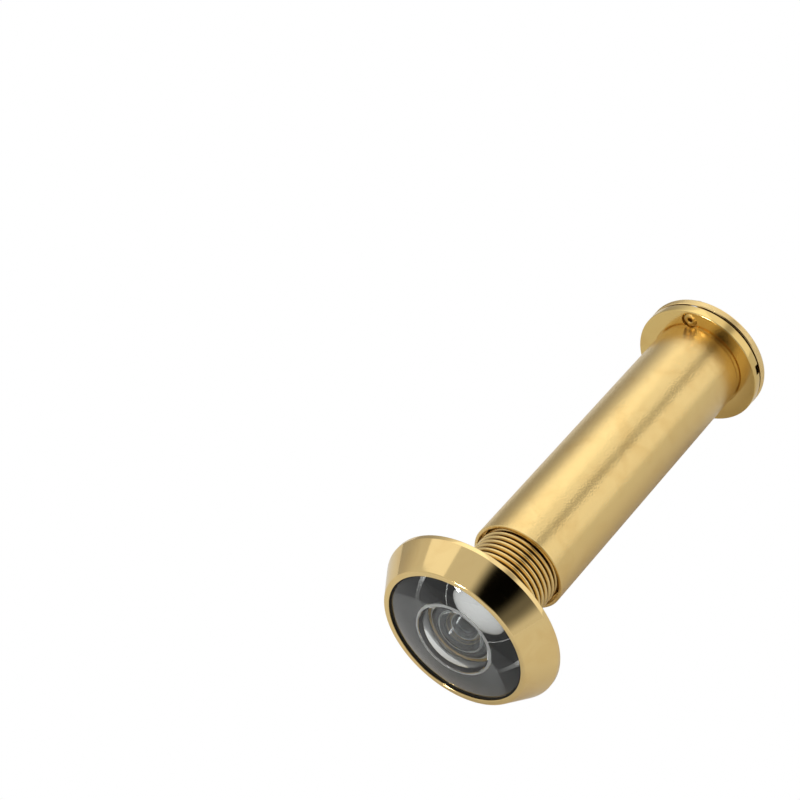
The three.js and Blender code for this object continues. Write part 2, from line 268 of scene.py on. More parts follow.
@dataclass
class Turning:
    """A piece turned on a lathe: a profile revolved about an axis parallel to Y.

    Attributes:
        name: The piece's name.
        outline: Profile corners (radius, y) of a closed loop, which may run along the axis.
        finishes: The materials, the first of which covers what bands doesn't name.
        rounds: Corner index to its radius.
        bands: Segment index of an unrounded profile to a material index.
        centre: X and Z of the axis in millimetres.
        segments: Facets round the axis.
        sharp: Edges that bend more than this many degrees stay crisp.
    """

    name: str
    outline: Sequence[Point]
    finishes: Sequence[bpy.types.Material]
    rounds: dict[int, float] = field(default_factory=dict)
    bands: dict[int, int] = field(default_factory=dict)
    centre: Point = (0.0, 0.0)
    segments: int = 192
    sharp: float = 28.0

    def build(self) -> bpy.types.Object:
        """Revolve the profile into a closed, smooth-shaded mesh.

        Returns:
            The piece, at the origin, with its place in its mesh.
        """
        profile = rounded(self.outline, self.rounds)
        work = bmesh.new()
        rings: list[list[bmesh.types.BMVert]] = []
        for radius, y in profile:
            spots = self.segments if radius > 1e-6 else 1
            ring = []
            for k in range(spots):
                angle = 2 * math.pi * k / self.segments
                x = self.centre[0] + radius * math.cos(angle)
                z = self.centre[1] + radius * math.sin(angle)
                ring.append(work.verts.new((x * MM, y * MM, z * MM)))
            rings.append(ring)
        for i, one in enumerate(rings):
            two = rings[(i + 1) % len(rings)]
            if len(one) == len(two) == 1:
                continue
            for k in range(self.segments):
                after = (k + 1) % self.segments
                corners = [one[k % len(one)], one[after % len(one)]]
                corners += [two[after % len(two)], two[k % len(two)]]
                face = work.faces.new(list(dict.fromkeys(corners)))
                face.smooth = True
                face.material_index = self.bands.get(i, 0)
        bmesh.ops.recalc_face_normals(work, faces=work.faces)
        mesh = mesh_of(self.name, work)
        for finish in self.finishes:
            mesh.materials.append(finish)
        mesh.set_sharp_from_angle(angle=math.radians(self.sharp))
        return mesh_object(self.name, mesh)


def bar(
    width: float, length: float, low: float, high: float, azimuth: float
) -> bpy.types.Object:
    """Make a square cutter that lies across the axis.

    Args:
        width: Across the slot, in millimetres.
        length: Along the slot.
        low: Lowest y.
        high: Highest y.
        azimuth: Direction of the slot's length in the XZ plane, in radians from +X.

    Returns:
        A temporary box object.
    """
    work = bmesh.new()
    place = Matrix.Translation(Vector((0, (low + high) / 2, 0)) * MM)
    place @= Matrix.Rotation(-azimuth, 4, "Y")
    place @= Matrix.Diagonal(Vector((length, high - low, width)) * MM).to_4x4()
    bmesh.ops.create_cube(work, size=1.0, matrix=place)
    return mesh_object("cutter", mesh_of("cutter", work))


def machined(
    piece: bpy.types.Object, cutters: Sequence[bpy.types.Object], sharp: float = 28.0
) -> bpy.types.Object:
    """Cut shapes out of a piece and shade it smooth between its crisp edges.

    Args:
        piece: The turned piece.
        cutters: Temporary objects to take away; they are deleted.
        sharp: Edges that bend more than this many degrees stay crisp.

    Returns:
        The same object with its new mesh.
    """
    for cutter in cutters:
        cut = piece.modifiers.new("cut", "BOOLEAN")
        cut.operation = "DIFFERENCE"
        cut.solver = "EXACT"
        cut.object = cutter
    graph = bpy.context.evaluated_depsgraph_get()
    mesh = bpy.data.meshes.new_from_object(piece.evaluated_get(graph), depsgraph=graph)
    piece.modifiers.clear()
    old, piece.data = piece.data, mesh
    mesh.name = piece.name
    bpy.data.meshes.remove(old)
    for cutter in cutters:
        bpy.data.meshes.remove(cutter.data)
    for polygon in mesh.polygons:
        polygon.use_smooth = True
    mesh.set_sharp_from_angle(angle=math.radians(sharp))
    return piece


class ThreadSide(Enum):
    """Which way a thread's ridge stands from its cylinder."""

    OUTWARD = 1
    INWARD = -1


@dataclass
class ScrewThread:
    """A left-hand ridge that climbs round a cylinder, made with Geometry Nodes.

    It winds the other way from the CAD's thread, which is right-hand.

    Attributes:
        name: The piece's name.
        radius: The cylinder that the ridge stands on, in millimetres.
        depth: Height of the ridge.
        crest: Width of the crest before its corners are rounded.
        pitch: Climb per turn.
        start: Y where the ridge starts, at +X.
        turns: Number of turns.
        side: Which way the ridge stands.
        steps: Facets per turn.
        flank: Slope of each flank in radians.
        foot: How far the section's foot is sunk into the cylinder, as a share of the depth.
        blunt: Radius that rounds the crest's corners, as a share of its width.
    """

    name: str
    radius: float
    depth: float
    crest: float
    pitch: float
    start: float
    turns: float
    side: ThreadSide
    steps: int = 96
    flank: float = math.radians(26)
    foot: float = 0.2
    blunt: float = 0.45

    @property
    def base(self) -> float:
        """Width where the ridge meets its cylinder, in millimetres."""
        return self.crest + 2 * self.depth * math.tan(self.flank)

    def tree(self, finish: bpy.types.Material) -> bpy.types.NodeTree:
        """Build the node tree that sweeps the ridge's section along a helix.

        Args:
            finish: The material it ends with.

        Returns:
            The tree, with named inputs for its sizes.
        """
        tree = bpy.data.node_groups.new(self.name, "GeometryNodeTree")
        face = tree.interface
        sizes = ("Radius", "Depth", "Crest", "Base", "Pitch", "Start", "Turns")
        for title in sizes:
            face.new_socket(title, in_out="INPUT", socket_type="NodeSocketFloat")
        face.new_socket("Steps", in_out="INPUT", socket_type="NodeSocketInt")
        face.new_socket("Ridge", in_out="OUTPUT", socket_type="NodeSocketGeometry")
        size = add_node(tree, "NodeGroupInput").outputs
        height = calculated(tree, "MULTIPLY", size["Pitch"], size["Turns"])
        helix = add_node(
            tree,
            "GeometryNodeCurveSpiral",
            {
                "Resolution": size["Steps"],
                "Rotations": size["Turns"],
                "Start Radius": size["Radius"],
                "End Radius": size["Radius"],
                "Height": height,
            },
        )
        upright = add_node(
            tree,
            "GeometryNodeSetCurveNormal",
            {"Curve": helix.outputs[0]},
            mode="Z_UP",
        )
        # The section is drawn with its foot sunk a little into the cylinder.
        section = add_node(
            tree,
            "GeometryNodeCurvePrimitiveQuadrilateral",
            {
                "Height": calculated(tree, "MULTIPLY", size["Depth"], 1 + self.foot),
                "Bottom Width": size["Base"],
                "Top Width": size["Crest"],
                "Offset": 0.0,
            },
            mode="TRAPEZOID",
        )
        blunt = add_node(
            tree,
            "GeometryNodeFilletCurve",
            {
                "Curve": section.outputs[0],
                "Radius": calculated(tree, "MULTIPLY", size["Crest"], self.blunt),
                "Limit Radius": True,
            },
        )
        for socket in blunt.inputs:
            if socket.name == "Count":
                socket.default_value = 3
            if socket.name == "Mode":
                socket.default_value = "Poly"
        middle = ((1 + self.foot) / 2 - self.foot) * self.side.value
        shift = add_node(
            tree,
            "ShaderNodeCombineXYZ",
            {"X": calculated(tree, "MULTIPLY", size["Depth"], -middle)},
        )
        turned = add_node(
            tree,
            "GeometryNodeTransform",
            {
                "Geometry": blunt.outputs[0],
                "Translation": shift.outputs[0],
                "Rotation": (0.0, 0.0, math.pi / 2 * self.side.value),
            },
        )
        swept = add_node(
            tree,
            "GeometryNodeCurveToMesh",
            {
                "Curve": upright.outputs[0],
                "Profile Curve": turned.outputs[0],
                "Fill Caps": True,
            },
        )
        start = add_node(tree, "ShaderNodeCombineXYZ", {"Y": size["Start"]})
        # The helix climbs along Z; a quarter turn about X lays it along Y.
        laid = add_node(
            tree,
            "GeometryNodeTransform",
            {
                "Geometry": swept.outputs[0],
                "Translation": start.outputs[0],
                "Rotation": (-math.pi / 2, 0.0, 0.0),
            },
        )
        whole = add_node(tree, "GeometryNodeRealizeInstances", {0: laid.outputs[0]})
        dressed = add_node(
            tree,
            "GeometryNodeSetMaterial",
            {"Geometry": whole.outputs[0], "Material": finish},
        )
        add_node(tree, "NodeGroupOutput", {0: dressed.outputs[0]})
        return tree

    def build(self, finish: bpy.types.Material) -> bpy.types.Object:
        """Evaluate the tree into a plain mesh.

        Args:
            finish: The ridge's material.

        Returns:
            The ridge as an object at the origin.
        """
        holder = mesh_object(self.name + "_tree", bpy.data.meshes.new("holder"))
        tree = self.tree(finish)
        modifier = holder.modifiers.new("thread", "NODES")
        modifier.node_group = tree
        values = {
            "Radius": self.radius * MM,
            "Depth": self.depth * MM,
            "Crest": self.crest * MM,
            "Base": self.base * MM,
            "Pitch": self.pitch * MM,
            "Start": self.start * MM,
            "Turns": float(self.turns),
            "Steps": self.steps,
        }
        for item in tree.interface.items_tree:
            if item.in_out == "INPUT":
                modifier[item.identifier] = values[item.name]
        graph = bpy.context.evaluated_depsgraph_get()
        mesh = bpy.data.meshes.new_from_object(holder.evaluated_get(graph), depsgraph=graph)
        bpy.data.objects.remove(holder)
        mesh.name = self.name
        work = bmesh.new()
        work.from_mesh(mesh)
        bmesh.ops.recalc_face_normals(work, faces=work.faces)
        work.to_mesh(mesh)
        work.free()
        for polygon in mesh.polygons:
            polygon.use_smooth = True
        mesh.set_sharp_from_angle(angle=math.radians(40))
        return mesh_object(self.name, mesh)


# ---------------------------------------------------------------- finishes


class Lay(Enum):
    """How much wider the gloss spreads across a turned surface's marks than along them."""

    POLISHED = 0.25
    TURNED = 0.55
    BRUSHED = 0.75


@dataclass(frozen=True)
class TurnedMetal:
    """Brass, or the washer's steel, turned on a lathe and polished or brushed while it spins.

    The eye sees a warm mirror whose reflections are drawn out across fine circular marks.

    Attributes:
        name: The material's name.
        colour: Bright metal.
        tarnish: Where fingers and air have warmed it.
        roughness: Blur of the reflections.
        lay: How the marks stretch the gloss.
        mark_pitch: Spacing of the marks in millimetres.
        mark_depth: Their depth in millimetres.
        grain: Share of fine grain that runs no particular way.
        centre: X and Z of the turning axis in millimetres.
        root_shade: Painted shade in a thread's roots, where real shade would fall: the radius below
            which it is full, and that above which it is gone, in millimetres.
        root_shade_colour: Colour of the painted root shade.
    """

    name: str
    colour: str
    tarnish: str
    roughness: float
    lay: Lay
    mark_pitch: float
    mark_depth: float
    grain: float = 0.15
    centre: Point = (0.0, 0.0)
    root_shade: Optional[tuple[float, float]] = None
    root_shade_colour: str = "#7A5A26"

    def material(self) -> bpy.types.Material:
        """Build the material.

        Returns:
            The new material.
        """
        made, tree = empty_material(self.name)
        place = add_node(tree, "ShaderNodeTexCoord").outputs["Object"]
        centred = add_node(
            tree,
            "ShaderNodeMapping",
            {
                "Vector": place,
                "Location": (-self.centre[0], 0.0, -self.centre[1]),
                "Scale": (1 / MM, 1 / MM, 1 / MM),
            },
        ).outputs[0]
        split = add_node(tree, "ShaderNodeSeparateXYZ", {0: centred})
        flat = add_node(
            tree, "ShaderNodeCombineXYZ", {"X": split.outputs["X"], "Y": split.outputs["Z"]}
        )
        radius = add_node(
            tree, "ShaderNodeVectorMath", {0: flat.outputs[0]}, operation="LENGTH"
        ).outputs["Value"]
        relief = self.relief(tree, centred, radius, split.outputs["Y"])
        # Rubbing and handling, a few millimetres across.
        clouds = add_node(
            tree,
            "ShaderNodeTexNoise",
            {"Vector": centred, "Scale": 0.22, "Detail": 4.0, "Distortion": 0.6},
        )
        stain = add_node(
            tree,
            "ShaderNodeMapRange",
            {"Value": clouds.outputs[0], "From Min": 0.45, "From Max": 0.8, "To Max": 0.3},
            interpolation_type="SMOOTHSTEP",
        ).outputs[0]
        rub = add_node(
            tree,
            "ShaderNodeMapRange",
            {
                "Value": relief,
                "From Min": 0.25,
                "From Max": 0.75,
                "To Min": self.roughness * 0.8,
                "To Max": self.roughness * 1.25,
            },
        )
        bump = add_node(
            tree,
            "ShaderNodeBump",
            {"Height": relief, "Distance": self.mark_depth * MM, "Strength": 1.0},
        )
        around = add_node(tree, "ShaderNodeTangent", direction_type="RADIAL", axis="Y")
        shader = add_node(
            tree,
            "ShaderNodeBsdfPrincipled",
            {
                "Base Color": self.coat(tree, stain, radius),
                "Metallic": 1.0,
                "Roughness": calculated(tree, "MULTIPLY_ADD", stain, 0.08, rub.outputs[0]),
                "Anisotropic": self.lay.value,
                "Anisotropic Rotation": 0.25,
                "Tangent": around.outputs[0],
                "Normal": bump.outputs[0],
            },
        )
        add_node(tree, "ShaderNodeOutputMaterial", {"Surface": shader.outputs[0]})
        return made

    def relief(
        self,
        tree: bpy.types.NodeTree,
        centred: bpy.types.NodeSocket,
        radius: bpy.types.NodeSocket,
        height: bpy.types.NodeSocket,
    ) -> bpy.types.NodeSocket:
        """Lay the tool's marks and the grain over each other.

        Args:
            tree: The material's tree.
            centred: Place from the turning axis, in millimetres.
            radius: Distance from the axis.
            height: Place along the axis.

        Returns:
            The surface's height, from zero to one.
        """
        # Marks run round the axis, so the pattern reads only the radius and the height.
        rings = add_node(tree, "ShaderNodeCombineXYZ", {"X": radius, "Y": height})
        marks = add_node(
            tree,
            "ShaderNodeTexNoise",
            {
                "Vector": rings.outputs[0],
                "Scale": 1 / self.mark_pitch,
                "Detail": 3.0,
                "Roughness": 0.62,
            },
            noise_dimensions="2D",
        )
        speck = add_node(
            tree,
            "ShaderNodeTexNoise",
            {"Vector": centred, "Scale": 0.4 / self.mark_pitch, "Detail": 3.0},
        )
        inputs = {"Factor": self.grain, "A": marks.outputs[0], "B": speck.outputs[0]}
        return add_node(tree, "ShaderNodeMix", inputs).outputs[0]

    def coat(
        self,
        tree: bpy.types.NodeTree,
        stain: bpy.types.NodeSocket,
        radius: bpy.types.NodeSocket,
    ) -> bpy.types.NodeSocket:
        """Colour the metal: bright, warmed where handled, and dark brown with painted shade in a
        thread's roots.

        Args:
            tree: The material's tree.
            stain: How much handling shows.
            radius: Distance from the axis in millimetres.

        Returns:
            The colour's socket.
        """
        metal = blended(tree, stain, linear(self.colour), linear(self.tarnish))
        if not self.root_shade:
            return metal
        # Painted shade: the colour turns dark brown towards the thread's roots, where shade would
        # fall.
        fully_shaded, unshaded = self.root_shade
        depth = add_node(
            tree,
            "ShaderNodeMapRange",
            {"Value": radius, "From Min": unshaded, "From Max": fully_shaded},
            interpolation_type="SMOOTHSTEP",
        )
        return blended(tree, depth.outputs[0], metal, linear(self.root_shade_colour))


@dataclass(frozen=True)
class CrownGlass:
    """Ground and polished crown glass.

    The eye sees clear depth with a faint reflection of the room on each surface.

    Attributes:
        name: The material's name.
        colour: Faint tint of the glass.
        roughness: Lowest roughness.
        haze: Highest roughness, in the patches of dust and handling.
        index: Index of refraction.
    """

    name: str
    colour: str = "#F7FAFA"
    roughness: float = 0.0
    haze: float = 0.02
    index: float = 1.52

    def material(self) -> bpy.types.Material:
        """Build the material.

        Returns:
            The new material.
        """
        made, tree = empty_material(self.name)
        place = add_node(tree, "ShaderNodeTexCoord").outputs["Object"]
        dust = add_node(
            tree,
            "ShaderNodeTexNoise",
            {"Vector": place, "Scale": 420.0, "Detail": 5.0, "Distortion": 0.4},
        )
        rub = add_node(
            tree,
            "ShaderNodeMapRange",
            {
                "Value": dust.outputs[0],
                "From Min": 0.5,
                "From Max": 0.85,
                "To Min": self.roughness,
                "To Max": self.haze,
            },
        )
        shader = add_node(
            tree,
            "ShaderNodeBsdfPrincipled",
            {
                "Base Color": linear(self.colour),
                "Transmission Weight": 1.0,
                "IOR": self.index,
                "Roughness": rub.outputs[0],
            },
        )
        add_node(tree, "ShaderNodeOutputMaterial", {"Surface": shader.outputs[0]})
        return made


@dataclass(frozen=True)
class FineGrain:
    """An opaque surface with a fine even grain: moulded plastic, rubber or ground glass.

    The eye sees a matt grain with a weak broad gloss.

    Attributes:
        name: The material's name.
        colour: Body colour.
        worn: The tops of the grain.
        roughness: Blur of the gloss.
        grain: Grain size in millimetres.
        depth: Grain depth in millimetres.
        gloss: Level of its reflections, where bare plastic is one half.
    """

    name: str
    colour: str
    worn: str
    roughness: float
    grain: float
    depth: float
    gloss: float = 0.25

    def material(self) -> bpy.types.Material:
        """Build the material.

        Returns:
            The new material.
        """
        made, tree = empty_material(self.name)
        place = add_node(tree, "ShaderNodeTexCoord").outputs["Object"]
        grain = add_node(
            tree,
            "ShaderNodeTexNoise",
            {"Vector": place, "Scale": 1 / (self.grain * MM), "Detail": 3.0},
        ).outputs[0]
        rub = add_node(
            tree,
            "ShaderNodeMapRange",
            {
                "Value": grain,
                "To Min": self.roughness * 0.85,
                "To Max": self.roughness * 1.15,
            },
        )
        bump = add_node(
            tree,
            "ShaderNodeBump",
            {"Height": grain, "Distance": self.depth * MM, "Strength": 1.0},
        )
        shader = add_node(
            tree,
            "ShaderNodeBsdfPrincipled",
            {
                "Base Color": blended(tree, grain, linear(self.colour), linear(self.worn)),
                "Specular IOR Level": self.gloss,
                "Roughness": rub.outputs[0],
                "Normal": bump.outputs[0],
            },
        )
        add_node(tree, "ShaderNodeOutputMaterial", {"Surface": shader.outputs[0]})
        return made


# ---------------------------------------------------------------- sub-assemblies


@dataclass(frozen=True)
class Span:
    """What a CAD node spans, in millimetres, about the optical axis.

    Attributes:
        radius: Its outside radius.
        front: Its lowest y.
        back: Its highest y.
        centre_z: The middle of its z range.
    """

    radius: float
    front: float
    back: float
    centre_z: float

    @classmethod
    def of(cls, node: str) -> "Span":
        """Read a node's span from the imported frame.

        Args:
            node: The node's name.

        Returns:
            Its span.
        """
        low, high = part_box(node)
        across = max(high.x - low.x, high.z - low.z) / 2
        return cls(across / MM, low.y / MM, high.y / MM, (low.z + high.z) / 2 / MM)

    def ring(self, bore: float) -> list[Point]:
        """Draw a plain ring's section, with this outside and these faces.

        Args:
            bore: Radius of the ring's hole.

        Returns:
            Profile corners, the first at the bore's front.
        """
        return [
            (bore, self.front),
            (self.radius, self.front),
            (self.radius, self.back),
            (bore, self.back),
        ]


@dataclass
class OutsideHalf:
    """The outside half: bezel, barrel with its thread, front lens and lens stack.

    Attributes are sizes in millimetres.
    """

    body: str = "outside_half"
    rim_band: float = 0.85
    bezel_height: float = 5.45
    lip_radius: float = 12.7
    lip_thickness: float = 0.3
    lip_inner: float = 11.82
    pocket_radius: float = 12.0
    pocket_floor: float = 3.4
    seat_relief: float = 0.15
    thread_root: float = 6.45
    thread_depth: float = 0.55
    thread_crest: float = 0.34
    thread_pitch: float = 1.0
    thread_start: float = 1.6
    end_run_out: float = 0.6
    stack_bore: float = 5.5
    stack_shoulder: float = 5.26
    light_path: float = 4.4
    second_seat: float = 0.85
    front_dome: float = 27.6
    front_edge: float = 1.2
    front_hollow_rim: float = 5.98
    front_hollow: float = 8.7
    second_dome: float = 14.0
    second_edge: float = 1.7
    second_hollow_rim: float = 3.9
    second_hollow: float = 4.6
    spacer_wall: float = 1.7
    third_hollow_rim: float = 3.39
    third_hollow: float = 7.5
    aperture_radius: float = 2.9
    aperture_flare: float = 0.5
    gasket_wall: float = 0.36
    seal_width: float = 5.24
    ground_bevel: float = 0.26
    second_bevel: float = 0.42

    def build(self, shop: "Workshop") -> list[bpy.types.Object]:
        """Make every piece of this half.

        Args:
            shop: The finished materials.

        Returns:
            The pieces.
        """
        return [
            self.housing(shop),
            self.barrel_thread(shop),
            self.front_lens(shop),
            *self.seals(shop),
            self.second_lens(shop),
            self.spacer(shop),
            self.third_lens(shop),
            self.stop(shop),
        ]

    def housing(self, shop: "Workshop") -> bpy.types.Object:
        """Turn the bezel and its barrel in one piece.

        Args:
            shop: The finished materials.

        Returns:
            The finished piece.
        """
        span = Span.of("objective_housing")
        front = -self.bezel_height
        root = self.thread_root
        seat = root + self.thread_depth + RELIEF_REACH
        pocket = Span.of("second_lens").radius + FIT_GAP
        outline = [
            (self.light_path, span.back),
            (root - 0.45, span.back),
            (root, span.back - 0.45),
            (root, -self.seat_relief),
            (seat, -self.seat_relief),
            (seat, 0.0),
            (span.radius, 0.0),
            (span.radius, -self.rim_band),
            (self.lip_radius, front),
            (self.lip_inner, front),
            (self.lip_inner, front + self.lip_thickness),
            (self.pocket_radius, front + self.lip_thickness),
            (self.pocket_radius, -self.pocket_floor),
            (pocket, -self.pocket_floor),
            (pocket, -self.second_seat),
            (self.stack_bore, -self.second_seat),
            (self.stack_bore, self.stack_shoulder),
            (self.light_path, self.stack_shoulder),
        ]
        rounds = {6: 0.18, 7: 0.22, 8: 0.3, 9: 0.12}
        made = Turning(
            "bezel_and_barrel", outline, [shop.polished, shop.thread], rounds, segments=288
        ).build()
        # The barrel behind the bezel takes the thread's brass, so painted root shade darkens it
        # between the ridges and in its bore.
        for polygon in made.data.polygons:
            polygon.material_index = int(polygon.center.y > 0.05 * MM)
        return dress(made, self.body, "polished_brass", "objective_housing")

    def barrel_thread(self, shop: "Workshop") -> bpy.types.Object:
        """Sweep the barrel's screw thread.

        Args:
            shop: The finished materials.

        Returns:
            The finished piece.
        """
        span = Span.of("objective_housing")
        length = span.back - self.end_run_out - self.thread_start
        made = ScrewThread(
            "barrel_thread",
            self.thread_root,
            self.thread_depth,
            self.thread_crest,
            self.thread_pitch,
            self.thread_start,
            length / self.thread_pitch,
            ThreadSide.OUTWARD,
        ).build(shop.thread)
        return dress(made, self.body, "polished_brass")

    def front_lens(self, shop: "Workshop") -> bpy.types.Object:
        """Grind the domed front lens, hollow at the back, with a matt bevel round the hollow.

        Args:
            shop: The finished materials.

        Returns:
            The finished piece.
        """
        span = Span.of("front_lens")
        back = span.front + self.dome_rise(span.radius) + self.front_edge
        hollow = cap(self.front_hollow, self.front_hollow_rim, back, -1)
        dome = cap(self.front_dome, span.radius, back - self.front_edge, -1)
        outline = [*dome, *self.hollow_back(hollow, span.radius, back)]
        # The edge is painted black; only the bevel round the hollow stays ground white.
        bands = {len(dome) - 1: 1, len(dome) + 1: 2}
        glass = [shop.glass, shop.black, shop.ground]
        made = Turning("front_lens_glass", outline, glass, bands=bands).build()
        return dress(made, self.body, "optical_glass", "front_lens")

    def dome_rise(self, radius: float) -> float:
        """Height of the front dome above its rim."""
        return self.front_dome - math.sqrt(self.front_dome**2 - radius**2)

    def hollow_back(
        self, hollow: Sequence[Point], radius: float, back: float
    ) -> list[Point]:
        """Draw the back of a lens from its edge inwards: flat, ground bevel and hollow.

        Args:
            hollow: The whole hollow, from the axis to its rim.
            radius: The lens's outside radius.
            back: Where its flat back stands.

        Returns:
            Profile points, the last on the axis.
        """
        rim_radius, rim_y = hollow[-1]
        bevel = self.ground_bevel
        inner = (rim_radius - bevel * 0.3, rim_y - bevel)
        return [
            (radius, back),
            (rim_radius + bevel, back),
            inner,
            *reversed([p for p in hollow if p[0] < inner[0]]),
        ]

    def seals(self, shop: "Workshop") -> list[bpy.types.Object]:
        """Make the rubber gasket round the front lens and the black washer behind it.

        Args:
            shop: The finished materials.

        Returns:
            Both rings.
        """
        pieces = []
        rings = (
            ("lens_gasket", "front_gasket", self.gasket_wall, shop.rubber, "black_rubber"),
            ("light_seal_washer", "light_seal", self.seal_width, shop.black, "black_plastic"),
        )
        for node, name, wall, finish, slot in rings:
            span = Span.of(node)
            outline = span.ring(span.radius - wall)
            made = Turning(name, outline, [finish], {0: 0.08, 1: 0.08}).build()
            pieces.append(dress(made, self.body, slot, node))
        return pieces

    def second_lens(self, shop: "Workshop") -> bpy.types.Object:
        """Grind the second lens: domed in front, hollow behind, bevelled round both.

        Args:
            shop: The finished materials.

        Returns:
            The finished piece.
        """
        span, bevel = Span.of("second_lens"), self.second_bevel
        edge_y = span.back - self.second_edge
        full = cap(self.second_dome, span.radius, edge_y, -1)
        dome = [p for p in full if p[0] < span.radius - bevel]
        dome.append((span.radius, edge_y + bevel * 0.25))
        hollow = cap(self.second_hollow, self.second_hollow_rim, span.back, -1)
        outline = [*dome, *self.hollow_back(hollow, span.radius, span.back)]
        # Ground bevels stay white; the edge and the flat behind are painted black.
        edge = len(dome)
        bands = {edge - 2: 1, edge - 1: 2, edge: 2, edge + 1: 1}
        glass = [shop.glass, shop.ground, shop.black]
        made = Turning("second_lens_glass", outline, glass, bands=bands).build()
        return dress(made, self.body, "optical_glass", "second_lens")

    def spacer(self, shop: "Workshop") -> bpy.types.Object:
        """Turn the ring between the second and the third lens.

        Args:
            shop: The finished materials.

        Returns:
            The finished piece.
        """
        span = Span.of("lens_spacer")
        rounds = {0: 0.15, 3: 0.15, 1: 0.1, 2: 0.1}
        outline = span.ring(span.radius - self.spacer_wall)
        made = Turning("spacer_ring", outline, [shop.satin], rounds).build()
        return dress(made, self.body, "satin_brass", "lens_spacer")

    def third_lens(self, shop: "Workshop") -> bpy.types.Object:
        """Grind the third lens, hollow on both sides.

        Args:
            shop: The finished materials.

        Returns:
            The finished piece.
        """
        span = Span.of("third_lens")
        front = cap(self.third_hollow, self.third_hollow_rim, span.front, 1)
        back = cap(self.third_hollow, self.third_hollow_rim, span.back, -1)
        outline = [
            *front,
            (span.radius, span.front),
            (span.radius, span.back),
            *reversed(back),
        ]
        # The flat in front is ground; the edge and the flat behind are painted black.
        edge = len(front)
        bands = {edge - 1: 1, edge: 2, edge + 1: 2}
        glass = [shop.glass, shop.ground, shop.black]
        made = Turning("third_lens_glass", outline, glass, bands=bands).build()
        return dress(made, self.body, "optical_glass", "third_lens")

    def stop(self, shop: "Workshop") -> bpy.types.Object:
        """Turn the black stop, whose bore widens towards the back.

        Args:
            shop: The finished materials.

        Returns:
            The finished piece.
        """
        span = Span.of("aperture_ring")
        outline = span.ring(self.aperture_radius)
        outline[-1] = (self.aperture_radius + self.aperture_flare, span.back)
        made = Turning("stop_ring", outline, [shop.black], {0: 0.08}).build()
        return dress(made, self.body, "black_plastic", "aperture_ring")


